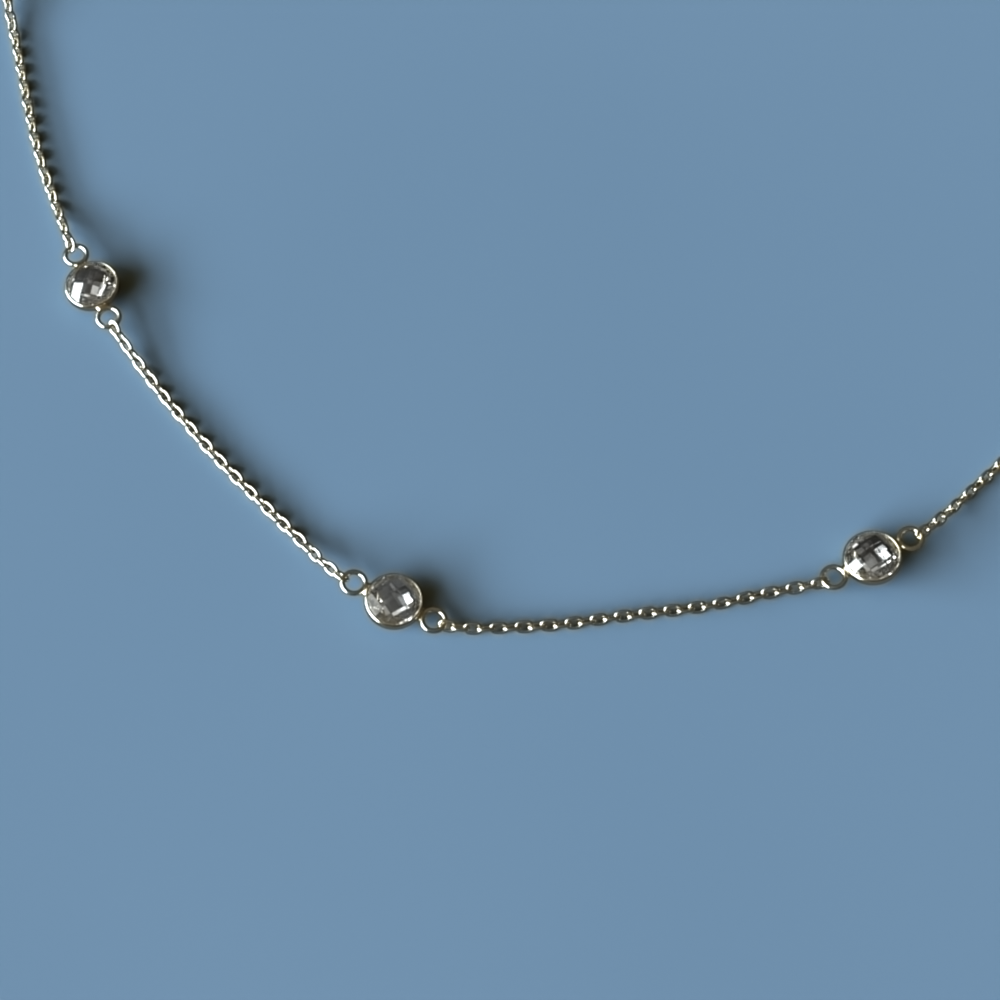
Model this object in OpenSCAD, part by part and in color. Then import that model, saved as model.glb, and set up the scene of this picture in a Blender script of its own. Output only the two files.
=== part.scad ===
// Station necklace laid in a closed loop: seven round settings, each with a faceted stone, joined by
// a fine cable chain that a spring ring clasp closes at the back. The surface it lies on is z = 0.

/* [Settings] */
// Outside diameter of the round band
band_d = 6; // [5:0.1:8]
// Height of the band
band_h = 1.1; // [0.8:0.05:1.6]
// Wall of the band
band_wall = 0.2; // [0.16:0.02:0.36]
// How far each lip of the band turns in over the stone
lip_in = 0.08; // [0.04:0.02:0.16]
// Height of each lip
lip_h = 0.08; // [0.04:0.02:0.14]
// Outside diameter of the rings soldered to the band and of the end ring
ring_d = 2.9; // [2.6:0.1:3.4]
// Wire of those rings
ring_wire = 0.54; // [0.36:0.02:0.6]
// Space between the band and a ring, filled by the solder neck
solder_gap = 0.05; // [0.05:0.05:0.5]
// Thickness of the solder neck
solder_d = 0.7; // [0.4:0.05:0.75]

/* [Stones] */
// Thickness of a stone between its two middle facets
stone_h = 2.8; // [2.2:0.1:3.4]
// Width of one square facet
facet_w = 1.11; // [0.8:0.01:1.4]
// Gap between the stone and the band, at the wall and under the lips
stone_gap = 0.03; // [0.02:0.01:0.06]

/* [Chain] */
// Outside width of a link
link_w = 1.4; // [1.1:0.05:1.6]
// Outside length of a link
link_l = 2; // [1.7:0.05:2.3]
// Wire of a link
link_wire = 0.36; // [0.26:0.02:0.4]
// Play between a link and the next one
link_play = 0.01; // [0.01:0.005:0.05]
// Roll of the links about the line of the chain, to one side and the other in turn
link_roll = 45; // [40:1:50]
// Space left between a chain and the ring that holds it
chain_gap = 0.2; // [0.1:0.05:0.3]
// Length in which a chain comes down from a ring to the surface
settle_length = 8; // [6:0.5:12]

/* [Clasp] */
// Outside diameter of the spring ring
clasp_d = 5.6; // [5:0.1:7]
// Thickness of the spring ring's tube
clasp_tube = 1.2; // [0.9:0.05:1.3]
// Outside diameter of the eye on the spring ring
eye_d = 2.5; // [2.3:0.1:3]
// Wire of the eye
eye_wire = 0.5; // [0.4:0.05:0.55]
// Diameter of the thumb knob
knob_d = 0.8; // [0.6:0.05:1]
// How far the thumb knob stands out of the tube
knob_out = 0.7; // [0.5:0.05:1]

/* [Hidden] */

// Route of the whole loop as it lies, from the clasp round by the left and the front. The front half
// follows the way it lies in use; the back half takes the plain way round.
ROUTE = [
    [17, 73.5], [2, 78.5], [-13, 79.5], [-28, 76], [-42, 68], [-53, 56], [-60.5, 42], [-64.5, 27], [-65, 14],
    [-63.5, 2], [-61, -9], [-58, -20.5], [-54, -31], [-49.5, -40.5], [-43.5, -50], [-36, -59.5],
    [-27.8, -68.4], [-22.4, -73.7], [-16.5, -77.2], [-9.5, -79.4], [-1, -79.5], [7.5, -78.5], [16, -77.5],
    [24, -75.5], [31, -73.5], [37, -70], [43.5, -65], [50.5, -58], [56.5, -48.5], [61.5, -37], [64.5, -22],
    [65, -7], [63, 9], [58.5, 25], [51.5, 40], [42, 53.5], [30.5, 65]
];
// Moves the route so that the origin is under the middle of the whole necklace
route_shift = [1, 0];
// How far the front station lies past the point opposite the clasp
front_slip = 1.7;
// Links of the chains between one station and the next, in the order of the stations
LINKS_BETWEEN = [31, 31, 32, 31, 32, 31];
// For each station its tilt about X, its tilt about Y and the turn of its stone, in degrees
STATION_POSES = [
    [0, 0, 10], [2, -3, 55], [2, -1, -15], [0.5, 7, 32], [-3, -7, 32], [0, 0, 70], [-2, 4, 25]
];
// Straight steps between two points of the route
ROUTE_STEPS = 6;
// Longest distance between two rings of a chain's tube
TUBE_STEP = 5.5;
// Sides of a chain's tube
TUBE_SIDES = 8;
// Straight steps in each rounded edge of the band
EDGE_STEPS = 5;
// Pieces of a full turn of the round parts
$fn = 64;

gold = [0.86, 0.74, 0.50];
glass_clear = [0.85, 0.88, 0.90];
station_count = len(STATION_POSES);
front_station = (station_count - 1) / 2;

// Sizes of a setting and its stone
band_r = band_d / 2;
bore_r = band_r - band_wall;
edge_r = band_wall + lip_in / 2;
lip_r = bore_r - lip_in;
lip_under = band_h / 2 - lip_h;
stone_r = bore_r - stone_gap;
ring_mean_r = (ring_d - ring_wire) / 2;
ring_reach = band_r + solder_gap + ring_d / 2;
hook_reach = ring_reach + ring_mean_r;
ring_low = link_wire + ring_wire / 2;
facet_rows = 2 * ceil(stone_r / facet_w - 0.5) + 1;
dome_fall = (stone_h / 2 - lip_under + stone_gap) / (pow(lip_r, 2) - pow(facet_w, 2) / 2);
dome_top = stone_h / 2 + dome_fall * pow(facet_w, 2) / 2;

// Sizes of the chain
link_pitch = link_l - 2 * link_wire - link_play;
link_mean_w = link_w - link_wire;
chain_h = link_mean_w * sin(link_roll) + link_wire;
tube_r = chain_h / 2 / cos(180 / TUBE_SIDES);

// Sizes of the clasp
clasp_mean_r = (clasp_d - clasp_tube) / 2;
eye_mean_r = (eye_d - eye_wire) / 2;
eye_reach = clasp_mean_r + clasp_tube / 2 + eye_mean_r;
eye_hook = eye_reach + eye_mean_r;
eye_low = link_wire + eye_wire / 2;
clasp_rise = (ring_d / 2 - eye_low) / (clasp_mean_r + eye_hook);
clasp_tilt = asin(clasp_rise);
clasp_z = max(eye_low + eye_hook * clasp_rise, clasp_tube / 2 + clasp_mean_r * clasp_rise);
end_ring_pull = (ring_d / 2 - ring_wire - clasp_tube / 2) / 2;
end_ring_reach = clasp_mean_r * cos(clasp_tilt) + end_ring_pull;
end_hook = end_ring_reach + ring_mean_r;

// The route as short straight steps, with the distance along it at each point
function on_curve(a, b, c, d, t) =
    (2 * b + (c - a) * t + (2 * a - 5 * b + 4 * c - d) * t * t + (3 * b - a - 3 * c + d) * t * t * t) / 2;
function route_point(i) = ROUTE[(i + len(ROUTE)) % len(ROUTE)] + route_shift;
path = [
    for (i = [0 : len(ROUTE) - 1], k = [0 : ROUTE_STEPS - 1])
        on_curve(route_point(i - 1), route_point(i), route_point(i + 1), route_point(i + 2), k / ROUTE_STEPS),
    route_point(0)
];
path_at = [
    for (i = 0, s = 0; i < len(path); s = s + norm(path[min(i + 1, len(path) - 1)] - path[i]), i = i + 1) s
];
loop_length = path_at[len(path) - 1];
path_x = [for (i = [0 : len(path) - 1]) [path_at[i], path[i].x]];
path_y = [for (i = [0 : len(path) - 1]) [path_at[i], path[i].y]];
function wrapped(s) = s < 0 ? s + loop_length : s > loop_length ? s - loop_length : s;
function along(s) = [lookup(wrapped(s), path_x), lookup(wrapped(s), path_y)];
function heading(s, reach) =
    let (step = along(s + reach) - along(s - reach)) atan2(step.y, step.x);

// Where each station lies along the route, from the links between the stations
function links_length(i) = LINKS_BETWEEN[i] * link_pitch + 2 * (hook_reach - ring_wire / 2);
function links_before(i) = i == 0 ? 0 : links_before(i - 1) + links_length(i - 1);
function station_at(i) = loop_length / 2 + front_slip + links_before(i) - links_before(front_station);

// Turns a point of the station's own frame as the station is turned and tilted
function turned(p, a) = [p.x * cos(a) - p.y * sin(a), p.x * sin(a) + p.y * cos(a), p.z];
function tilted(p, tilt) =
    let (q = [p.x, p.y * cos(tilt.x) - p.z * sin(tilt.x), p.y * sin(tilt.x) + p.z * cos(tilt.x)])
    [q.x * cos(tilt.y) + q.z * sin(tilt.y), q.y, q.z * cos(tilt.y) - q.x * sin(tilt.y)];

// Height of a station's centre: it rests on the lowest corner of the stone's middle facet, or on the link
// that passes under a ring
function stone_depth(i) = max([
    for (x = [-1, 1], y = [-1, 1])
        -tilted(turned([x, y, 0] * facet_w / 2 - [0, 0, stone_h / 2], STATION_POSES[i].z), STATION_POSES[i]).z
]);
function ring_depth(i) = max([
    for (side = [-1, 1])
        ring_low - tilted(turned([side * hook_reach, 0, 0], station_heading(i)), STATION_POSES[i]).z
]);
function station_z(i) = max(stone_depth(i), ring_depth(i));
function station_heading(i) = heading(station_at(i), ring_reach);
function on_station(i, p) =
    let (centre = along(station_at(i)))
    tilted(turned(p, station_heading(i)), STATION_POSES[i]) + [centre.x, centre.y, station_z(i)];

// Where a chain's end hangs in a ring, and the middle of the chain where it lies on the surface
function raised(p, z) = [p.x, p.y, z];
function kept_up(p) = [p.x, p.y, max(p.z, chain_h / 2)];
function clasp_hook() =
    let (a = heading(0, clasp_mean_r))
    raised(along(0), clasp_z - eye_hook * clasp_rise) + eye_hook * cos(clasp_tilt) * [cos(a), sin(a), 0];
function end_ring_hook() =
    let (a = heading(0, clasp_mean_r))
    raised(along(0), ring_d / 2) - end_hook * [cos(a), sin(a), 0];
function hook_after(i) = kept_up(i == 0 ? clasp_hook() : on_station(i - 1, [hook_reach, 0, 0]));
function hook_before(i) =
    kept_up(i == station_count ? end_ring_hook() : on_station(i, [-hook_reach, 0, 0]));
function start_at(i) = i == 0 ? eye_hook : station_at(i - 1) + hook_reach;
function end_at(i) = i == station_count ? loop_length - end_hook : station_at(i) - hook_reach;

// Share of a hook's offset that is left at a distance from it
function settling(distance) =
    let (t = min(max(distance / settle_length, 0), 1)) 1 - t * t * (3 - 2 * t);
function chain_point(i, s) =
    let (
        rest = chain_h / 2,
        from_hook = hook_after(i) - raised(along(start_at(i)), rest),
        to_hook = hook_before(i) - raised(along(end_at(i)), rest)
    )
    raised(along(s), rest) + settling(s - start_at(i)) * from_hook + settling(end_at(i) - s) * to_hook;
function chain_points(i) =
    let (
        trim = ring_wire / 2 + chain_gap,
        from = start_at(i) + (i == 0 ? eye_wire / 2 + chain_gap : trim),
        to = end_at(i) - trim,
        steps = ceil((to - from) / TUBE_STEP)
    )
    [for (k = [0 : steps]) chain_point(i, from + (to - from) * k / steps)];

// A tube of flat sides round a line of points, with one side of it facing down
function unit(v) = v / norm(v);
function tube_section(points, k) =
    let (
        forward = unit(points[min(k + 1, len(points) - 1)] - points[max(k - 1, 0)]),
        side = unit(cross([0, 0, 1], forward)),
        up = cross(forward, side)
    )
    [
        for (j = [0 : TUBE_SIDES - 1])
            let (a = 360 * (j + 0.5) / TUBE_SIDES)
            points[k] + tube_r * (cos(a) * side + sin(a) * up)
    ];
module tube(points) {
    last = len(points) - 1;
    polyhedron(
        points = [for (k = [0 : last]) each tube_section(points, k)],
        faces = [
            [for (j = [0 : TUBE_SIDES - 1]) j],
            for (k = [0 : last - 1], j = [0 : TUBE_SIDES - 1])
                let (next = (j + 1) % TUBE_SIDES)
                [
                    k * TUBE_SIDES + j, (k + 1) * TUBE_SIDES + j,
                    (k + 1) * TUBE_SIDES + next, k * TUBE_SIDES + next
                ],
            [for (j = [TUBE_SIDES - 1 : -1 : 0]) last * TUBE_SIDES + j]
        ]
    );
}

// Upper half of the band's section: a wall, a lip that turns in over the stone and a rounded rim
function band_half() =
    [
        [bore_r, lip_under],
        [lip_r, lip_under],
        [lip_r, band_h / 2],
        for (k = [0 : EDGE_STEPS])
            let (a = 90 - 90 * k / EDGE_STEPS)
            [band_r - edge_r + edge_r * cos(a), band_h / 2 - edge_r + edge_r * sin(a)]
    ];
function mirrored_down(outline) = [for (k = [len(outline) - 1 : -1 : 0]) [outline[k].x, -outline[k].y]];

module wire_ring(mean_r, wire) {
    rotate_extrude() translate([mean_r, 0]) circle(d = wire);
}

module setting() {
    rotate_extrude() polygon(concat(band_half(), mirrored_down(band_half())));
    neck_from = band_r - band_wall / 2;
    neck_to = ring_reach - ring_mean_r;
    for (side = [0, 180]) rotate(side) {
        translate([ring_reach, 0, 0]) wire_ring(ring_mean_r, ring_wire);
        translate([neck_from, 0, 0]) rotate([0, 90, 0]) cylinder(d = solder_d, h = neck_to - neck_from);
    }
}

// A block under one faceted dome: the corners of its square facets lie on a paraboloid, so each is flat
module dome() {
    corners = facet_rows + 1;
    half = facet_rows * facet_w / 2;
    grid = [for (j = [0 : facet_rows], i = [0 : facet_rows]) [i, j] * facet_w - [half, half]];
    count = len(grid);
    squares = [for (j = [0 : facet_rows - 1], i = [0 : facet_rows - 1]) j * corners + i];
    south = [for (i = [0 : facet_rows - 1]) [i, i + 1]];
    east = [for (j = [1 : facet_rows]) [j * corners - 1, (j + 1) * corners - 1]];
    north = [for (i = [0 : facet_rows - 1]) [count - 1 - i, count - 2 - i]];
    west = [for (j = [facet_rows : -1 : 1]) [j * corners, (j - 1) * corners]];
    polyhedron(
        points = concat(
            [for (p = grid) [p.x, p.y, dome_top - dome_fall * (p * p)]],
            [for (p = grid) [p.x, p.y, -stone_h]]
        ),
        faces = concat(
            [for (q = squares) [q, q + corners, q + corners + 1, q + 1]],
            [for (q = squares) [q + count, q + count + 1, q + count + corners + 1, q + count + corners]],
            [for (e = concat(south, east, north, west)) [e[0], e[1], e[1] + count, e[0] + count]]
        )
    );
}

module stone() {
    intersection() {
        cylinder(r = stone_r, h = 2 * stone_h, center = true);
        dome();
        mirror([0, 0, 1]) dome();
    }
}

module at_station(i) {
    centre = along(station_at(i));
    translate([centre.x, centre.y, station_z(i)])
        rotate([STATION_POSES[i].x, STATION_POSES[i].y, 0])
            children();
}

module setting_node(i) {
    color(gold) at_station(i) rotate(station_heading(i)) setting();
}

module stone_node(i) {
    color(glass_clear) at_station(i) rotate(STATION_POSES[i].z) stone();
}

module chain_node(i) {
    color(gold) tube(chain_points(i));
}

// The spring ring lies tilted, with its far side on the end ring that stands under it
module clasp() {
    centre = along(0);
    color(gold)
        translate([centre.x, centre.y, clasp_z])
            rotate(heading(0, clasp_mean_r))
                rotate([0, clasp_tilt, 0]) {
                    wire_ring(clasp_mean_r, clasp_tube);
                    translate([eye_reach, 0, 0]) wire_ring(eye_mean_r, eye_wire);
                    rotate(90) translate([clasp_mean_r, 0, 0]) rotate([0, 90, 0])
                        cylinder(d = knob_d, h = clasp_tube / 2 + knob_out);
                }
}

module end_ring() {
    centre = along(0);
    color(gold)
        translate([centre.x, centre.y, ring_d / 2])
            rotate(heading(0, clasp_mean_r))
                translate([-end_ring_reach, 0, 0])
                    rotate([90, 0, 0]) wire_ring(ring_mean_r, ring_wire);
}

for (i = [0 : station_count - 1]) {
    setting_node(i);
    stone_node(i);
}
for (i = [0 : station_count]) {
    chain_node(i);
}
clasp();
end_ring();
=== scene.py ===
"""Looks of the station necklace: chain, settings, stones and clasp, with the surface, lights and camera."""
import bisect
import math

import bmesh
import bpy
from mathutils import Matrix, Vector


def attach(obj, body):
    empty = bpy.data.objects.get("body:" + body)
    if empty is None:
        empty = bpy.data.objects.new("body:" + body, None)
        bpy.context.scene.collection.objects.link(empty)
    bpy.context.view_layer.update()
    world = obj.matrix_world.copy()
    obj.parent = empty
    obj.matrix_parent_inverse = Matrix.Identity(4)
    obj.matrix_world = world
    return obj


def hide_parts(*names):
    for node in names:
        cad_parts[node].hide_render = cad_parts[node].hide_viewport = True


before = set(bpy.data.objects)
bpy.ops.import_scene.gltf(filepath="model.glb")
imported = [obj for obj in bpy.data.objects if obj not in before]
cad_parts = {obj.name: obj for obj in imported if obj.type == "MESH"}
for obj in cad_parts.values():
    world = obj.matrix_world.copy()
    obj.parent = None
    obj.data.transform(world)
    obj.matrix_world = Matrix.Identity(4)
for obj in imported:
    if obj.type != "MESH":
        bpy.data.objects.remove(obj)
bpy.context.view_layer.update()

# One millimetre in metres: the necklace's sizes are in millimetres and all angles in degrees
MM = 0.001
UP = Vector((0, 0, 1))

# Settings
BAND_D = 6.0
BAND_H = 1.1
BAND_WALL = 0.2
LIP_IN = 0.08
LIP_H = 0.08
RING_D = 2.9
RING_WIRE = 0.54
SOLDER_GAP = 0.05
# Rolled edge of the band: radius and end of the roll, depth of its middle, radius and start of its crest
ROLL_R = 0.42
ROLL_END = 48
ROLL_DEPTH = 0.333
CREST_R = 0.085
CREST_START = 170
# Solder from the band to a ring: distance past the band's side, half width and half thickness
SOLDER_SECTIONS = [
    (-0.16, 0.84, 0.42), (-0.04, 0.80, 0.39), (0.06, 0.74, 0.34),
    (0.16, 0.68, 0.30), (0.30, 0.64, 0.28), (0.42, 0.58, 0.20),
]

# Stones
STONE_H = 2.8
FACET_W = 1.11
STONE_GAP = 0.03

# Chain
LINK_W = 1.4
LINK_L = 2.0
LINK_WIRE = 0.36
LINK_PLAY = 0.01
LINK_ROLL = 45.0
SETTLE_LENGTH = 8.0
# How square the oval of a link is, where 2 is an ellipse
LINK_SQUARENESS = 2.4
# Most that a link's roll is off, and how fast that swings with the links and the chains, and swells
LINK_UNEVEN = 9.0
UNEVEN_BY_LINK = 2.1
UNEVEN_BY_CHAIN = 1.3
UNEVEN_SWELL = 0.37

# Clasp
CLASP_D = 5.6
CLASP_TUBE = 1.2
EYE_D = 2.5
EYE_WIRE = 0.5
KNOB_D = 0.8
KNOB_OUT = 0.7
# Corners of the knob from its stem to its top: share of its radius, depth under its top and rounding
KNOB_CORNERS = [(0.7, 0.5, 0.05), (1.0, 0.36, 0.05), (1.0, 0.1, 0.06), (0.8, 0.0, 0.06)]
# Fine grooves at the ends of the spring ring's tongue: angles round the ring, depth and half width
GROOVES = (118, 242)
GROOVE_DEPTH = 0.05
GROOVE_HALF = 0.09

# Route of the whole loop from the clasp round by the left and the front, before its shift
ROUTE = [
    (17, 73.5), (2, 78.5), (-13, 79.5), (-28, 76), (-42, 68), (-53, 56), (-60.5, 42), (-64.5, 27), (-65, 14),
    (-63.5, 2), (-61, -9), (-58, -20.5), (-54, -31), (-49.5, -40.5), (-43.5, -50), (-36, -59.5),
    (-27.8, -68.4), (-22.4, -73.7), (-16.5, -77.2), (-9.5, -79.4), (-1, -79.5), (7.5, -78.5), (16, -77.5),
    (24, -75.5), (31, -73.5), (37, -70), (43.5, -65), (50.5, -58), (56.5, -48.5), (61.5, -37), (64.5, -22),
    (65, -7), (63, 9), (58.5, 25), (51.5, 40), (42, 53.5), (30.5, 65),
]
ROUTE_SHIFT = Vector((1, 0))
ROUTE_STEPS = 6
FRONT_SLIP = 1.7
LINKS_BETWEEN = [31, 31, 32, 31, 32, 31]
# Tilt about X, tilt about Y and turn of the stone of each station
STATION_POSES = [
    (0, 0, 10), (2, -3, 55), (2, -1, -15), (0.5, 7, 32), (-3, -7, 32), (0, 0, 70), (-2, 4, 25),
]
STATIONS = len(STATION_POSES)
FRONT_STATION = (STATIONS - 1) // 2

# Fineness of the meshes: steps along a shape and sides of a wire
BAND_STEPS = 160
ROLL_STEPS = 10
CREST_STEPS = 8
SOLDER_SIDES = 20
WIRE_STEPS = 72
WIRE_SIDES = 18
GIRDLE_SIDES = 128
LINK_STEPS = 44
LINK_SIDES = 12
CLASP_STEPS = 240
CLASP_SIDES = 28
KNOB_STEPS = 40
CORNER_STEPS = 4
# How near the axis a turned outline ends, and how near a cut a corner counts as on it
NEAR_AXIS = 0.001
ON_CUT = 1e-6

# Camera: where it looks, how far it stands off, its angle above the surface, its roll, lens and sensor
CAMERA_AIM = Vector((-5, -65, 0))
CAMERA_DISTANCE = 209.81
CAMERA_ELEVATION = 64.0
CAMERA_ROLL = -0.95
CAMERA_LENS = 72
SENSOR = 36
# Nearest and farthest that it sees, in metres
CAMERA_REACH = (0.01, 20)

# Golds: paler tone, deeper tone, and least and greatest roughness
SETTING_GOLD = ((0.93, 0.84, 0.63, 1), (0.86, 0.75, 0.49, 1), (0.16, 0.26))
CHAIN_GOLD = ((0.93, 0.86, 0.68, 1), (0.87, 0.78, 0.56, 1), (0.18, 0.28))
# Noise of the gold's tone and of its patches: scale, and the values between which it goes from none to all
GOLD_TONE_SCALE = 900
GOLD_TONE_SPAN = (0.35, 0.65)
GOLD_PATCH_SCALE = 260
GOLD_PATCH_SPAN = (0.45, 0.75)
# Most of the deeper tone that a patch adds
GOLD_PATCH_SHARE = 0.35
# Hairlines one way and the other: stretch and scale
HAIRLINES = [((1, 0.12, 0.5), 9000), ((0.15, 1, 0.6), 7000)]
HAIRLINE_STRENGTH = 0.25
HAIRLINE_DEPTH = 0.004
# Values between which most of a noise lies
NOISE_SPAN = (0.3, 0.7)

# Clear stone: refraction, its two faint tones, the marks of its polish
STONE_IOR = 2.15
STONE_CLEAR = (0.990, 0.990, 0.985, 1)
STONE_DIM = (0.975, 0.975, 0.965, 1)
STONE_TONE_SCALE = 500
STONE_TONE_SPAN = (0.4, 0.6)
POLISH_STRETCH = (1, 0.2, 1)
POLISH_SCALE = 5000
POLISH_STRENGTH = 0.05
POLISH_DEPTH = 0.002
# Girdle: its roughness, and how far a face looks up or down where the girdle ends and the facets begin
GIRDLE_ROUGHNESS = 0.5
GIRDLE_SPAN = (0.3, 0.4)

# Surface: its tones, mottling, grain and roughness
FLOOR_COLOUR = (0.192, 0.312, 0.452, 1)
FLOOR_DEEP = (0.178, 0.294, 0.430, 1)
FLOOR_ROUGHNESS = 0.9
MOTTLE_SCALE = 9
GRAIN_SCALE = 1500
GRAIN_SHARE = 0.06
GRAIN_STRENGTH = 0.1
GRAIN_DEPTH = 0.02
# Painted shade: the darker, browner colour the surface is given where the metal and the stones show it,
# standing in for their own shadow, and how much of it is mixed in
FLOOR_PAINTED_SHADE = (0.112, 0.096, 0.072, 1)
PAINTED_SHADE_SHARE = 0.8
# Half its width and how far it lies under the CAD's ground, in metres
FLOOR_HALF = 8.0
FLOOR_DROP = 0.00001

# Lights: their distance in metres, the window's colour and the sky's
LIGHT_DISTANCE = 30.0
LIGHT_COLOUR = (0.95, 0.98, 1.0)
SKY_COLOUR = (0.87, 0.95, 1.0)
# Window in three bands: azimuth, elevation, width and height as shares of the distance, and radiance
WINDOW_LOW = (197.0, 14.0, (1.2, 0.18), 29.0)
WINDOW_MIDDLE = (206.0, 26.5, (1.075, 0.27), 10.0)
WINDOW_HIGH = (212.0, 42.0, (0.8, 0.3), 2.4)
# The window's upper part and the paler glow round it as metal and stones mirror them
GLEAM = (189.0, 30.0, (0.85, 0.38), 4.8)
GLOW = (178.0, 40.0, (1.1, 0.52), 1.6)

# Room: scale of its patches and their colours from the noise's low values to its high ones
ROOM_SCALE = 2.2
ROOM_TONES = [
    (0.35, (0.050, 0.043, 0.030, 1)),
    (0.5, (0.100, 0.084, 0.058, 1)),
    (0.68, (0.155, 0.139, 0.116, 1)),
]
# Room as light that has passed through a stone sees it
STONE_ROOM_SCALE = 3.4
STONE_ROOM_TONES = [
    (0.38, (0.160, 0.155, 0.140, 1)),
    (0.5, (0.300, 0.300, 0.285, 1)),
    (0.64, (1.30, 1.35, 1.35, 1)),
]
# How far up the room begins to brighten and stops, and its brightness at both
ROOM_RISE = (0.1, 0.75)
ROOM_BRIGHTNESS = (0.35, 1.3)
# Light of the room on matt surfaces, and the backdrop that the camera sees
ROOM_LIGHT = (0.175, 0.094, 0.028, 1)
BACKDROP = (0.42, 0.52, 0.62, 1)

# Picture: exposure, gamma and the most bounces of light
EXPOSURE = 0.356
PICTURE_GAMMA = 0.8
MOST_BOUNCES = 24
METAL_BOUNCES = 16
# How many times white the brightest glint may be before the picture is softened
BRIGHTEST = 1.6
# Softness of the picture and of its colours in pixels, and sharpening of its light
SOFT_PIXELS = 2
SOFT_COLOUR_PIXELS = 9
SHARPENING = 0.08
# Gamma to even steps of brightness, and back
EVEN_GAMMA = 0.4545
LINEAR_GAMMA = 2.2

# Sizes that follow from those above
BAND_R = BAND_D / 2
BORE_R = BAND_R - BAND_WALL
LIP_R = BORE_R - LIP_IN
LIP_UNDER = BAND_H / 2 - LIP_H
STONE_R = BORE_R - STONE_GAP
RING_MEAN_R = (RING_D - RING_WIRE) / 2
RING_REACH = BAND_R + SOLDER_GAP + RING_D / 2
HOOK_REACH = RING_REACH + RING_MEAN_R
RING_LOW = LINK_WIRE + RING_WIRE / 2
FACET_ROWS = 2 * math.ceil(STONE_R / FACET_W - 0.5) + 1
DOME_FALL = (STONE_H / 2 - LIP_UNDER + STONE_GAP) / (LIP_R ** 2 - FACET_W ** 2 / 2)
DOME_TOP = STONE_H / 2 + DOME_FALL * FACET_W ** 2 / 2
LINK_PITCH = LINK_L - 2 * LINK_WIRE - LINK_PLAY
LINK_HALF_INSIDE = LINK_L / 2 - LINK_WIRE
CHAIN_H = (LINK_W - LINK_WIRE) * math.sin(math.radians(LINK_ROLL)) + LINK_WIRE
CLASP_MEAN_R = (CLASP_D - CLASP_TUBE) / 2
EYE_MEAN_R = (EYE_D - EYE_WIRE) / 2
EYE_REACH = CLASP_MEAN_R + CLASP_TUBE / 2 + EYE_MEAN_R
EYE_HOOK = EYE_REACH + EYE_MEAN_R
EYE_LOW = LINK_WIRE + EYE_WIRE / 2
CLASP_RISE = (RING_D / 2 - EYE_LOW) / (CLASP_MEAN_R + EYE_HOOK)
CLASP_TILT = math.asin(CLASP_RISE)
CLASP_Z = max(EYE_LOW + EYE_HOOK * CLASP_RISE, CLASP_TUBE / 2 + CLASP_MEAN_R * CLASP_RISE)
END_RING_PULL = (RING_D / 2 - RING_WIRE - CLASP_TUBE / 2) / 2
END_RING_REACH = CLASP_MEAN_R * math.cos(CLASP_TILT) + END_RING_PULL
END_HOOK = END_RING_REACH + RING_MEAN_R


def frame_from(x_axis, y_axis, z_axis, origin):
    """The frame that has these axes and this origin."""
    return Matrix((
        (x_axis.x, y_axis.x, z_axis.x, origin.x),
        (x_axis.y, y_axis.y, z_axis.y, origin.y),
        (x_axis.z, y_axis.z, z_axis.z, origin.z),
        (0, 0, 0, 1),
    ))


def make_camera():
    """The camera at the photograph's angle."""
    tall = math.radians(CAMERA_ELEVATION)
    roll = math.radians(CAMERA_ROLL)
    back = Vector((0, -math.cos(tall), math.sin(tall)))
    up_level = Vector((0, math.sin(tall), math.cos(tall)))
    right = Vector((math.cos(roll), 0, 0)) + math.sin(roll) * up_level
    up = math.cos(roll) * up_level - Vector((math.sin(roll), 0, 0))
    data = bpy.data.cameras.new("camera")
    data.lens = CAMERA_LENS
    data.sensor_width = SENSOR
    data.clip_start, data.clip_end = CAMERA_REACH
    camera = bpy.data.objects.new("camera", data)
    camera.matrix_world = frame_from(right, up, back, (CAMERA_AIM + CAMERA_DISTANCE * back) * MM)
    bpy.context.scene.collection.objects.link(camera)
    bpy.context.scene.camera = camera


# The route, as in the CAD

def on_curve(a, b, c, d, t):
    """A point of a smooth curve between b and c."""
    return (2 * b + (c - a) * t + (2 * a - 5 * b + 4 * c - d) * t * t + (3 * b - a - 3 * c + d) * t ** 3) / 2


def route_path():
    """The route as short straight steps, and the distance along it at each point."""
    points = [Vector(p) + ROUTE_SHIFT for p in ROUTE]
    count = len(points)
    path = [
        on_curve(points[i - 1], points[i], points[(i + 1) % count], points[(i + 2) % count], k / ROUTE_STEPS)
        for i in range(count)
        for k in range(ROUTE_STEPS)
    ]
    path.append(points[0])
    at = [0.0]
    for a, b in zip(path, path[1:]):
        at.append(at[-1] + (b - a).length)
    return path, at


PATH, PATH_AT = route_path()
LOOP_LENGTH = PATH_AT[-1]


def along(s):
    """The point of the route at distance s, which may run past either end of it."""
    if s < 0:
        s += LOOP_LENGTH
    elif s > LOOP_LENGTH:
        s -= LOOP_LENGTH
    after = min(bisect.bisect_right(PATH_AT, s), len(PATH_AT) - 1)
    before = after - 1
    share = (s - PATH_AT[before]) / (PATH_AT[after] - PATH_AT[before])
    return PATH[before].lerp(PATH[after], share)


def heading(s, reach):
    """The direction of the route at distance s, as an angle about Z."""
    step = along(s + reach) - along(s - reach)
    return math.atan2(step.y, step.x)


def links_length(i):
    """Distance from station i to the next."""
    return LINKS_BETWEEN[i] * LINK_PITCH + 2 * (HOOK_REACH - RING_WIRE / 2)


def station_at(i):
    """Where station i lies along the route."""
    before = sum(links_length(j) for j in range(i)) - sum(links_length(j) for j in range(FRONT_STATION))
    return LOOP_LENGTH / 2 + FRONT_SLIP + before


def station_tilt(i):
    """The tilt of station i as a turn."""
    about_x, about_y, _ = STATION_POSES[i]
    return (
        Matrix.Rotation(math.radians(about_y), 4, "Y")
        @ Matrix.Rotation(math.radians(about_x), 4, "X")
    )


def station_heading(i):
    return heading(station_at(i), RING_REACH)


def stone_turn(i):
    return math.radians(STATION_POSES[i][2])


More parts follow.
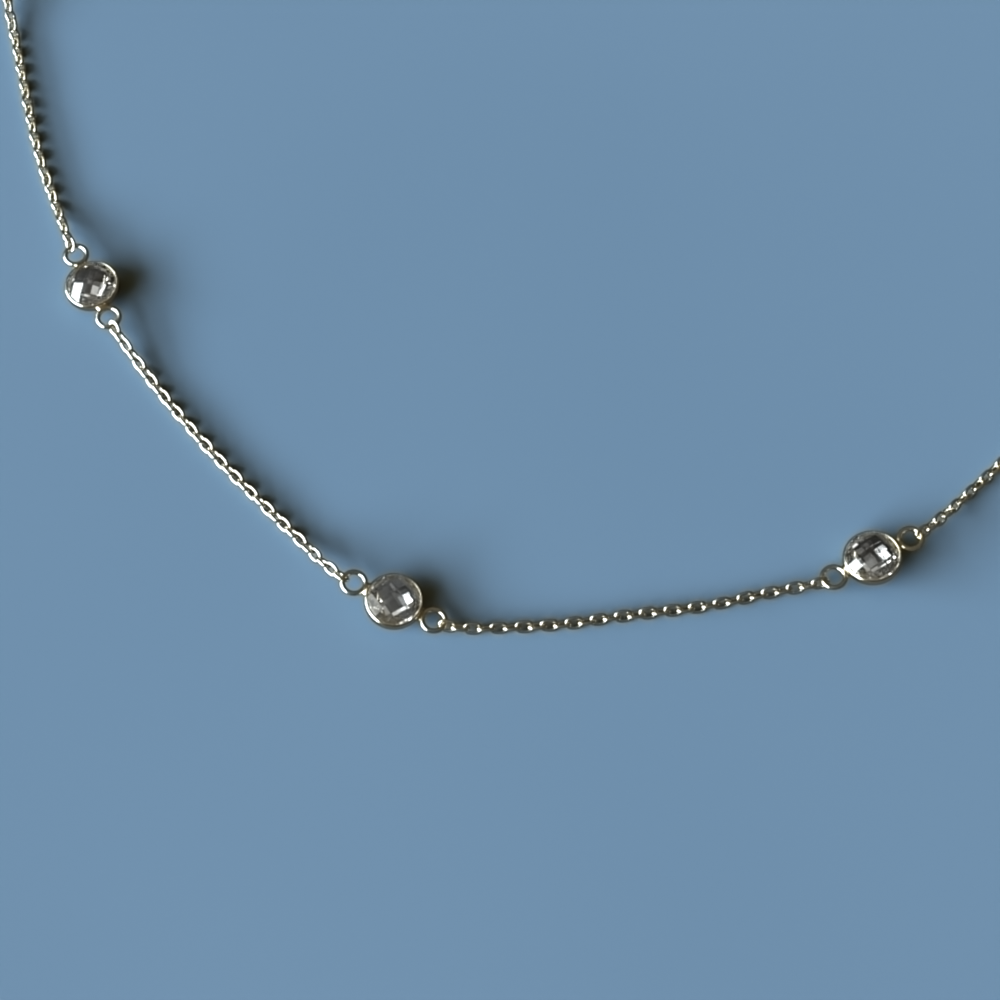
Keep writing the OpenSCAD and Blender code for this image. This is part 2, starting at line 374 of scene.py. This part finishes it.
def station_frame(i, turn):
    """The frame of station i, turned about its own axis. It rests on its stone or on a link under a ring."""
    tilt = station_tilt(i)
    facing = tilt @ Matrix.Rotation(stone_turn(i), 4, "Z")
    corners = [Vector((x * FACET_W / 2, y * FACET_W / 2, -STONE_H / 2)) for x in (-1, 1) for y in (-1, 1)]
    stone_depth = max(-(facing @ corner).z for corner in corners)
    hooked = tilt @ Matrix.Rotation(station_heading(i), 4, "Z")
    ring_depth = max(RING_LOW - (hooked @ Vector((side * HOOK_REACH, 0, 0))).z for side in (-1, 1))
    centre = along(station_at(i))
    place = Matrix.Translation((centre.x, centre.y, max(stone_depth, ring_depth)))
    return place @ tilt @ Matrix.Rotation(turn, 4, "Z")


def clasp_frame():
    """The frame of the spring ring, with its eye towards +X."""
    centre = along(0)
    return (
        Matrix.Translation((centre.x, centre.y, CLASP_Z))
        @ Matrix.Rotation(heading(0, CLASP_MEAN_R), 4, "Z")
        @ Matrix.Rotation(CLASP_TILT, 4, "Y")
    )


def end_ring_frame():
    """The frame of the upright end ring, with its axis along Z."""
    centre = along(0)
    return (
        Matrix.Translation((centre.x, centre.y, RING_D / 2))
        @ Matrix.Rotation(heading(0, CLASP_MEAN_R), 4, "Z")
        @ Matrix.Translation((-END_RING_REACH, 0, 0))
        @ Matrix.Rotation(math.pi / 2, 4, "X")
    )


def kept_up(point):
    return Vector((point.x, point.y, max(point.z, CHAIN_H / 2)))


def hook_after(i):
    """Where chain i begins."""
    if i == 0:
        return kept_up(clasp_frame() @ Vector((EYE_HOOK, 0, 0)))
    return kept_up(station_frame(i - 1, station_heading(i - 1)) @ Vector((HOOK_REACH, 0, 0)))


def hook_before(i):
    """Where chain i ends."""
    if i == STATIONS:
        return kept_up(end_ring_frame() @ Vector((-RING_MEAN_R, 0, 0)))
    return kept_up(station_frame(i, station_heading(i)) @ Vector((-HOOK_REACH, 0, 0)))


def start_at(i):
    return EYE_HOOK if i == 0 else station_at(i - 1) + HOOK_REACH


def end_at(i):
    return LOOP_LENGTH - END_HOOK if i == STATIONS else station_at(i) - HOOK_REACH


def settling(distance):
    """Share of a hook's offset that is left at a distance from it."""
    t = min(max(distance / SETTLE_LENGTH, 0), 1)
    return 1 - t * t * (3 - 2 * t)


def raised(point):
    return Vector((point.x, point.y, CHAIN_H / 2))


def chain_line(i):
    """A function that gives the middle of chain i at distance s."""
    from_hook = hook_after(i) - raised(along(start_at(i)))
    to_hook = hook_before(i) - raised(along(end_at(i)))

    def point(s):
        lift = settling(s - start_at(i)) * from_hook + settling(end_at(i) - s) * to_hook
        return raised(along(s)) + lift

    return point


# Mesh helpers: a shell is a list of points in millimetres and a list of faces

def full_turn(steps):
    """Even angles round a full turn."""
    return [2 * math.pi * k / steps for k in range(steps)]


def swept(sections, closed):
    """A shell through rings of points, joined end to end or capped."""
    count = len(sections[0])
    points = [p for section in sections for p in section]
    faces = []
    for k in range(len(sections) if closed else len(sections) - 1):
        here = k * count
        there = (k + 1) % len(sections) * count
        for j in range(count):
            nxt = (j + 1) % count
            faces.append((here + j, there + j, there + nxt, here + nxt))
    if not closed:
        last = (len(sections) - 1) * count
        faces.append(tuple(range(count)))
        faces.append(tuple(reversed(range(last, last + count))))
    return points, faces


def round_section(centre, out, radius, sides):
    """Points round a wire at one point of its flat line, from its outward side upwards."""
    return [centre + radius * (math.cos(a) * out + math.sin(a) * UP) for a in full_turn(sides)]


def wire_loop(centres, radius, sides):
    """A round wire that runs through a closed line of points in the XY plane."""
    sections = []
    for k, centre in enumerate(centres):
        forward = (centres[(k + 1) % len(centres)] - centres[k - 1]).normalized()
        out = Vector((forward.y, -forward.x, 0))
        sections.append(round_section(centre, out, radius, sides))
    return swept(sections, closed=True)


def ring_shell(mean_r, wire, x=0):
    """A ring of round wire in the XY plane, with its middle at x."""
    middle = Vector((x, 0, 0))
    centres = [
        middle + Vector((mean_r * math.cos(a), mean_r * math.sin(a), 0))
        for a in full_turn(WIRE_STEPS)
    ]
    return wire_loop(centres, wire / 2, WIRE_SIDES)


def turned_shell(profile, steps):
    """A shell turned about Z from a closed profile of (radius, height)."""
    sections = [
        [Vector((r * math.cos(a), r * math.sin(a), z)) for r, z in profile]
        for a in full_turn(steps)
    ]
    return swept(sections, closed=True)


def arc_points(middle, radius, start, end, steps):
    """Points of an arc in a section, with its angles from the outward direction."""
    return [
        (middle[0] + radius * math.cos(a), middle[1] + radius * math.sin(a))
        for a in (math.radians(start + (end - start) * k / steps) for k in range(steps + 1))
    ]


def rounded(outline):
    """A closed profile from corners of (radius, height, rounding)."""
    corners = [Vector((r, z)) for r, z, _ in outline]
    profile = []
    for k, here in enumerate(corners):
        rounding = outline[k][2]
        start = here + (corners[k - 1] - here).normalized() * rounding
        end = here + (corners[(k + 1) % len(corners)] - here).normalized() * rounding
        for j in range(CORNER_STEPS + 1 if rounding else 1):
            t = j / CORNER_STEPS
            profile.append(tuple((1 - t) ** 2 * start + 2 * t * (1 - t) * here + t * t * end))
    return profile


def moved(shell, matrix):
    points, faces = shell
    return [matrix @ p for p in points], faces


def joined(shells):
    """One shell from several."""
    points, faces = [], []
    for more_points, more_faces in shells:
        first = len(points)
        points += more_points
        faces += [tuple(first + k for k in face) for face in more_faces]
    return points, faces


def new_piece(name, shell, material, node, smooth=True):
    """A shown piece that stands for a CAD node and rides with it."""
    points, faces = shell
    mesh = bpy.data.meshes.new(name)
    mesh.from_pydata([tuple(p * MM) for p in points], [], faces)
    outward = bmesh.new()
    outward.from_mesh(mesh)
    bmesh.ops.recalc_face_normals(outward, faces=outward.faces)
    outward.to_mesh(mesh)
    outward.free()
    for polygon in mesh.polygons:
        polygon.use_smooth = smooth
    mesh.materials.append(material)
    piece = bpy.data.objects.new(name, mesh)
    bpy.context.scene.collection.objects.link(piece)
    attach(piece, "root")
    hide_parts(node)


# Materials

class Nodes:
    """Short calls for building a node tree. An input is a value or another node's output."""

    def __init__(self, tree):
        self.tree = tree
        tree.nodes.clear()

    def add(self, kind, inputs=None, **settings):
        node = self.tree.nodes.new(kind)
        for key, value in settings.items():
            setattr(node, key, value)
        for key, value in (inputs or {}).items():
            if isinstance(value, bpy.types.NodeSocket):
                self.tree.links.new(value, node.inputs[key])
            else:
                node.inputs[key].default_value = value
        return node

    def noise(self, vector, scale, detail=2.0, roughness=0.5):
        return self.add("ShaderNodeTexNoise", {
            "Vector": vector, "Scale": scale, "Detail": detail, "Roughness": roughness,
        }).outputs["Fac"]

    def ramp(self, value, stops):
        """Colours by value, from stops of (value, colour)."""
        node = self.add("ShaderNodeValToRGB", {"Fac": value})
        elements = node.color_ramp.elements
        for element, (position, colour) in ((elements[0], stops[0]), (elements[1], stops[-1])):
            element.position, element.color = position, colour
        for position, colour in stops[1:-1]:
            elements.new(position).color = colour
        return node.outputs["Color"]

    def remap(self, value, span, to=(0, 1)):
        """The value, moved from one span to another."""
        return self.add("ShaderNodeMapRange", {
            "Value": value, "From Min": span[0], "From Max": span[1], "To Min": to[0], "To Max": to[1],
        }).outputs["Result"]

    def stretched(self, vector, scale):
        return self.add("ShaderNodeMapping", {"Vector": vector, "Scale": scale}).outputs["Vector"]

    def mix(self, share, a, b, mode="MIX"):
        """Colours a and b mixed by the share of b. A colour mix has these at its inputs 0, 6 and 7."""
        inputs = {0: share, 6: a, 7: b}
        return self.add("ShaderNodeMix", inputs, data_type="RGBA", blend_type=mode).outputs[2]

    def math(self, operation, *values):
        return self.add("ShaderNodeMath", dict(enumerate(values)), operation=operation).outputs["Value"]

    def bump(self, height, strength, depth):
        inputs = {"Height": height, "Strength": strength, "Distance": depth * MM}
        return self.add("ShaderNodeBump", inputs).outputs["Normal"]

    def surface(self, inputs):
        """The shader at the end of a material's tree."""
        shader = self.add("ShaderNodeBsdfPrincipled", inputs)
        self.add("ShaderNodeOutputMaterial", {"Surface": shader.outputs["BSDF"]})


def new_material(name):
    """A material, short calls for its nodes, and the place on the object as the first of their outputs."""
    material = bpy.data.materials.new(name)
    material.use_nodes = True
    n = Nodes(material.node_tree)
    return material, n, n.add("ShaderNodeTexCoord").outputs["Object"]


def gold_material(name, pale, deep, roughness):
    """Polished plated gold: slight changes of tone, fine wear and hairline scratches."""
    material, n, place = new_material(name)
    tone = n.noise(place, GOLD_TONE_SCALE, detail=3)
    patches = n.noise(place, GOLD_PATCH_SCALE)
    colour = n.mix(n.remap(tone, GOLD_TONE_SPAN), pale, deep)
    colour = n.mix(n.remap(patches, GOLD_PATCH_SPAN, (0, GOLD_PATCH_SHARE)), colour, deep)
    fine, crossing = [
        n.noise(n.stretched(place, stretch), scale, detail=3, roughness=0.6)
        for stretch, scale in HAIRLINES
    ]
    wear = n.mix(0.5, fine, crossing)
    n.surface({
        "Base Color": colour,
        "Metallic": 1.0,
        "Roughness": n.remap(wear, NOISE_SPAN, roughness),
        "Normal": n.bump(wear, HAIRLINE_STRENGTH, HAIRLINE_DEPTH),
    })
    return material


def stone_material():
    """Clear cut stone, with the faintest tone and polish marks. Its girdle is left frosted."""
    material, n, place = new_material("clear_stone")
    tone = n.noise(place, STONE_TONE_SCALE, detail=1)
    facing = n.add("ShaderNodeNewGeometry").outputs["True Normal"]
    tall = n.add("ShaderNodeSeparateXYZ", {"Vector": facing}).outputs["Z"]
    polish = n.noise(n.stretched(place, POLISH_STRETCH), POLISH_SCALE)
    n.surface({
        "Base Color": n.mix(n.remap(tone, STONE_TONE_SPAN), STONE_CLEAR, STONE_DIM),
        "Roughness": n.remap(n.math("ABSOLUTE", tall), GIRDLE_SPAN, (GIRDLE_ROUGHNESS, 0)),
        "IOR": STONE_IOR,
        "Transmission Weight": 1.0,
        "Normal": n.bump(polish, POLISH_STRENGTH, POLISH_DEPTH),
    })
    return material


def floor_material():
    """The plain blue-grey surface, matt, with faint mottling and grain, and with painted shade where the
    metal mirrors it and the stones show it.
    """
    material, n, place = new_material("surface")
    grain = n.noise(place, GRAIN_SCALE, detail=3)
    colour = n.mix(n.remap(n.noise(place, MOTTLE_SCALE), NOISE_SPAN), FLOOR_COLOUR, FLOOR_DEEP)
    colour = n.mix(n.remap(grain, NOISE_SPAN, (0, GRAIN_SHARE)), colour, FLOOR_DEEP)
    # Painted shade: rays from the metal and the stones see the surface darker and browner, in place of the
    # pieces' own shadow
    path = n.add("ShaderNodeLightPath").outputs
    painted_shade_rays = n.math("MAXIMUM", path["Is Glossy Ray"], path["Is Transmission Ray"])
    colour = n.mix(n.remap(painted_shade_rays, (0, 1), (0, PAINTED_SHADE_SHARE)), colour, FLOOR_PAINTED_SHADE)
    n.surface({
        "Base Color": colour,
        "Roughness": FLOOR_ROUGHNESS,
        "Specular IOR Level": 0.0,
        "Normal": n.bump(grain, GRAIN_STRENGTH, GRAIN_DEPTH),
    })
    return material


# Settings

def band_profile():
    """Section of the band: a thin wall whose edges are rolled over the stone."""
    middle = (BAND_R - ROLL_R, BAND_H / 2 - ROLL_DEPTH)
    crest = arc_points(middle, ROLL_R - CREST_R, ROLL_END, ROLL_END, 1)[0]
    upper = [(BORE_R, LIP_UNDER), (LIP_R, LIP_UNDER)]
    upper += arc_points(crest, CREST_R, CREST_START, ROLL_END, CREST_STEPS)
    upper += arc_points(middle, ROLL_R, ROLL_END, 0, ROLL_STEPS)[1:]
    lower = [(r, -z) for r, z in reversed(upper)]
    return upper + lower


def solder_shell(side):
    """The solder that joins a ring to the band, flaring into both."""
    sections = [
        [
            Vector((side * (BAND_R + past), side * half_wide * math.cos(a), half_thick * math.sin(a)))
            for a in full_turn(SOLDER_SIDES)
        ]
        for past, half_wide, half_thick in SOLDER_SECTIONS
    ]
    return swept(sections, closed=False)


def setting_shell():
    """The band with a ring soldered to it on two sides."""
    parts = [turned_shell(band_profile(), BAND_STEPS)]
    for side in (-1, 1):
        parts += [ring_shell(RING_MEAN_R, RING_WIRE, side * RING_REACH), solder_shell(side)]
    return joined(parts)


def make_settings(material):
    shell = setting_shell()
    for i in range(STATIONS):
        name = "setting_%d" % (i + 1)
        placed = moved(shell, station_frame(i, station_heading(i)))
        new_piece(name + "_band_and_rings", placed, material, name)


# Stones

def facet_plane(x, y, side):
    """A corner of the facet about (x, y) and its outward direction, where side -1 is the lower dome."""
    half = FACET_W / 2
    corner_x = math.copysign(abs(x) + half, x)
    corner_y = math.copysign(abs(y) - half, y)
    height = DOME_TOP - DOME_FALL * (corner_x ** 2 + corner_y ** 2)
    outward = Vector((2 * DOME_FALL * x, 2 * DOME_FALL * y, side)).normalized()
    return Vector((corner_x, corner_y, side * height)), outward


def cut_off(solid, at, outward):
    """Cuts away what lies beyond a plane and closes the cut."""
    everything = solid.verts[:] + solid.edges[:] + solid.faces[:]
    cut = bmesh.ops.bisect_plane(
        solid, geom=everything, dist=ON_CUT, plane_co=at, plane_no=outward, clear_outer=True
    )["geom_cut"]
    edges = [e for e in cut if isinstance(e, bmesh.types.BMEdge)]
    if edges:
        bmesh.ops.contextual_create(solid, geom=edges)
    solid.verts.index_update()


def cut_stone():
    """A round stone cut above and below into flat square facets on a dome."""
    solid = bmesh.new()
    bmesh.ops.create_cone(
        solid, cap_ends=True, segments=GIRDLE_SIDES, radius1=STONE_R, radius2=STONE_R, depth=2 * STONE_H
    )
    half = FACET_ROWS * FACET_W / 2
    middles = [(k + 0.5) * FACET_W - half for k in range(FACET_ROWS)]
    for x in middles:
        for y in middles:
            for side in (1, -1):
                cut_off(solid, *facet_plane(x, y, side))
    points = [v.co.copy() for v in solid.verts]
    faces = [tuple(v.index for v in face.verts) for face in solid.faces]
    solid.free()
    return points, faces


def make_stones(material):
    shell = cut_stone()
    for i in range(STATIONS):
        name = "stone_%d" % (i + 1)
        placed = moved(shell, station_frame(i, stone_turn(i)))
        new_piece(name + "_cut", placed, material, name, smooth=False)


# Chain

def link_shell():
    """One oval link in the XY plane, long along X."""
    half_long = (LINK_L - LINK_WIRE) / 2
    half_wide = (LINK_W - LINK_WIRE) / 2
    centres = []
    for a in full_turn(LINK_STEPS):
        c, s = math.cos(a), math.sin(a)
        centres.append(Vector((
            half_long * math.copysign(abs(c) ** (2 / LINK_SQUARENESS), c),
            half_wide * math.copysign(abs(s) ** (2 / LINK_SQUARENESS), s),
            0,
        )))
    return wire_loop(centres, LINK_WIRE / 2, LINK_SIDES)


def link_turn(i, k):
    """Roll of link k of chain i: to one side and the other in turn, a little unevenly."""
    roll = math.radians(LINK_ROLL) * (1 if k % 2 == 0 else -1)
    wave = math.sin(UNEVEN_BY_LINK * k + UNEVEN_BY_CHAIN * i)
    return roll + math.radians(LINK_UNEVEN) * wave * math.sin(UNEVEN_SWELL * k)


def link_frame(line, s, roll):
    """The frame of a link at distance s on a chain's line, lifted where it would dip under the surface."""
    forward = (line(s + LINK_PITCH / 2) - line(s - LINK_PITCH / 2)).normalized()
    side = UP.cross(forward).normalized()
    across = math.cos(roll) * side + math.sin(roll) * forward.cross(side)
    at = line(s)
    at.z = max(at.z, (LINK_W - LINK_WIRE) / 2 * abs(math.sin(roll)) + LINK_WIRE / 2)
    return frame_from(forward, across, forward.cross(across), at)


def link_frames(i):
    """Where each link of chain i lies."""
    line = chain_line(i)
    held_by = EYE_WIRE if i == 0 else RING_WIRE
    first = start_at(i) - held_by / 2 + LINK_HALF_INSIDE
    last = end_at(i) + RING_WIRE / 2 - LINK_HALF_INSIDE
    steps = round((last - first) / LINK_PITCH)
    return [
        link_frame(line, first + (last - first) * k / steps, link_turn(i, k))
        for k in range(steps + 1)
    ]


def make_chains(material):
    link = link_shell()
    for i in range(STATIONS + 1):
        name = "chain_%d" % (i + 1)
        shells = [moved(link, place) for place in link_frames(i)]
        new_piece(name + "_links", joined(shells), material, name)


# Clasp

def groove_depth(a):
    """Depth of the grooves at an angle round the spring ring."""
    return sum(
        GROOVE_DEPTH * max(0.0, 1 - (abs(a - math.radians(groove)) * CLASP_MEAN_R / GROOVE_HALF) ** 2)
        for groove in GROOVES
    )


def spring_ring_shell():
    sections = []
    for a in full_turn(CLASP_STEPS):
        out = Vector((math.cos(a), math.sin(a), 0))
        radius = CLASP_TUBE / 2 - groove_depth(a)
        sections.append(round_section(CLASP_MEAN_R * out, out, radius, CLASP_SIDES))
    return swept(sections, closed=True)


def knob_shell():
    """The thumb knob, from inside the tube outwards along +Y."""
    half = KNOB_D / 2
    top = CLASP_TUBE / 2 + KNOB_OUT
    corners = [(half * share, top - depth, rounding) for share, depth, rounding in KNOB_CORNERS]
    stem = corners[0][0]
    outline = [(NEAR_AXIS, 0, 0), (stem, 0, 0)] + corners + [(NEAR_AXIS, top, 0)]
    outwards = (
        Matrix.Rotation(math.pi / 2, 4, "Z")
        @ Matrix.Translation((CLASP_MEAN_R, 0, 0))
        @ Matrix.Rotation(math.pi / 2, 4, "Y")
    )
    return moved(turned_shell(rounded(outline), KNOB_STEPS), outwards)


def make_clasp(material):
    """The spring ring with its eye and knob, and the end ring that it holds."""
    parts = [spring_ring_shell(), ring_shell(EYE_MEAN_R, EYE_WIRE, EYE_REACH), knob_shell()]
    new_piece("clasp_spring_ring", moved(joined(parts), clasp_frame()), material, "clasp")
    ring = ring_shell(RING_MEAN_R, RING_WIRE)
    new_piece("end_ring_wire", moved(ring, end_ring_frame()), material, "end_ring")


# Surface, lights and view

def make_floor():
    mesh = bpy.data.meshes.new("floor")
    corners = [(x * FLOOR_HALF, y * FLOOR_HALF, 0) for x, y in ((-1, -1), (1, -1), (1, 1), (-1, 1))]
    mesh.from_pydata(corners, [], [(0, 1, 2, 3)])
    mesh.materials.append(floor_material())
    floor = bpy.data.objects.new("floor", mesh)
    floor.location.z = -FLOOR_DROP
    bpy.context.scene.collection.objects.link(floor)


def make_panel(name, azimuth, elevation, size, radiance, colour=LIGHT_COLOUR):
    """A panel of soft light that faces the necklace and that the camera doesn't see."""
    azimuth = math.radians(azimuth)
    tall = math.radians(elevation)
    level = math.cos(tall)
    direction = Vector((math.cos(azimuth) * level, math.sin(azimuth) * level, math.sin(tall)))
    data = bpy.data.lights.new(name, "AREA")
    data.shape = "RECTANGLE"
    data.size, data.size_y = [share * LIGHT_DISTANCE for share in size]
    data.energy = radiance * math.pi * data.size * data.size_y
    data.color = colour
    panel = bpy.data.objects.new(name, data)
    panel.location = CAMERA_AIM * MM + direction * LIGHT_DISTANCE
    panel.rotation_euler = direction.to_track_quat("Z", "Y").to_euler()
    panel.visible_camera = False
    bpy.context.scene.collection.objects.link(panel)
    return panel


def make_lights():
    """The window's low band lights all, its upper bands the surface, and the gleam and glow the pieces."""
    make_panel("window_low", *WINDOW_LOW)
    for name, window in (("window_middle", WINDOW_MIDDLE), ("window_high", WINDOW_HIGH)):
        panel = make_panel(name, *window)
        panel.visible_glossy = False
        panel.visible_transmission = False
    for name, window in (("gleam", GLEAM), ("glow", GLOW)):
        make_panel(name, *window, SKY_COLOUR).visible_diffuse = False


def make_world():
    """A dim room of brown tones, brighter through the stones. The camera sees a plain pale backdrop."""
    world = bpy.data.worlds.new("room")
    world.use_nodes = True
    bpy.context.scene.world = world
    n = Nodes(world.node_tree)
    place = n.add("ShaderNodeTexCoord").outputs["Generated"]
    tall = n.add("ShaderNodeSeparateXYZ", {"Vector": place}).outputs["Z"]
    room = n.ramp(n.noise(place, ROOM_SCALE), ROOM_TONES)
    room = n.mix(1.0, room, n.remap(tall, ROOM_RISE, ROOM_BRIGHTNESS), "MULTIPLY")
    stone_room = n.ramp(n.noise(place, STONE_ROOM_SCALE, detail=3), STONE_ROOM_TONES)
    path = n.add("ShaderNodeLightPath").outputs
    colour = n.mix(path["Is Transmission Ray"], room, stone_room)
    colour = n.mix(path["Is Diffuse Ray"], colour, ROOM_LIGHT)
    colour = n.mix(path["Is Camera Ray"], colour, BACKDROP)
    background = n.add("ShaderNodeBackground", {"Color": colour, "Strength": 1.0})
    n.add("ShaderNodeOutputWorld", {"Surface": background.outputs["Background"]})


def scaled(n, image, factor):
    """The picture times a factor, kept between black and white."""
    inputs = {1: image, 2: (factor, factor, factor, 1)}
    return n.add("CompositorNodeMixRGB", inputs, blend_type="MULTIPLY", use_clamp=True).outputs["Image"]


def blurred(n, image, pixels):
    blur = n.add("CompositorNodeBlur", {"Image": image}, filter_type="GAUSS", size_x=pixels, size_y=pixels)
    return blur.outputs["Image"]


def with_gamma(n, image, gamma):
    return n.add("CompositorNodeGamma", {"Image": image, "Gamma": gamma}).outputs["Image"]


def soften_picture(tree):
    """The slight softness of the photograph, which is greater in its colours than in its light."""
    n = Nodes(tree)
    picture = n.add("CompositorNodeRLayers").outputs["Image"]
    soft = scaled(n, blurred(n, scaled(n, picture, 1 / BRIGHTEST), SOFT_PIXELS), BRIGHTEST)
    even = with_gamma(n, soft, EVEN_GAMMA)
    parts = n.add("CompositorNodeSeparateColor", {"Image": even}, mode="YCC").outputs
    crisp = n.add("CompositorNodeFilter", {"Fac": SHARPENING, "Image": parts[0]}, filter_type="SHARPEN")
    whole = n.add("CompositorNodeCombineColor", {
        0: crisp.outputs["Image"],
        1: blurred(n, parts[1], SOFT_COLOUR_PIXELS),
        2: blurred(n, parts[2], SOFT_COLOUR_PIXELS),
    }, mode="YCC").outputs["Image"]
    n.add("CompositorNodeComposite", {"Image": with_gamma(n, whole, LINEAR_GAMMA)})


def set_view():
    scene = bpy.context.scene
    scene.view_settings.view_transform = "Standard"
    scene.view_settings.look = "None"
    scene.view_settings.exposure = EXPOSURE
    scene.view_settings.gamma = PICTURE_GAMMA
    scene.cycles.caustics_refractive = False
    scene.cycles.max_bounces = MOST_BOUNCES
    scene.cycles.glossy_bounces = METAL_BOUNCES
    scene.cycles.transmission_bounces = MOST_BOUNCES
    scene.use_nodes = True
    soften_picture(scene.node_tree)


# Building

make_camera()
make_settings(gold_material("setting_gold", *SETTING_GOLD))
make_stones(stone_material())
make_chains(gold_material("chain_gold", *CHAIN_GOLD))
make_clasp(gold_material("clasp_gold", *SETTING_GOLD))
make_floor()
make_lights()
make_world()
set_view()
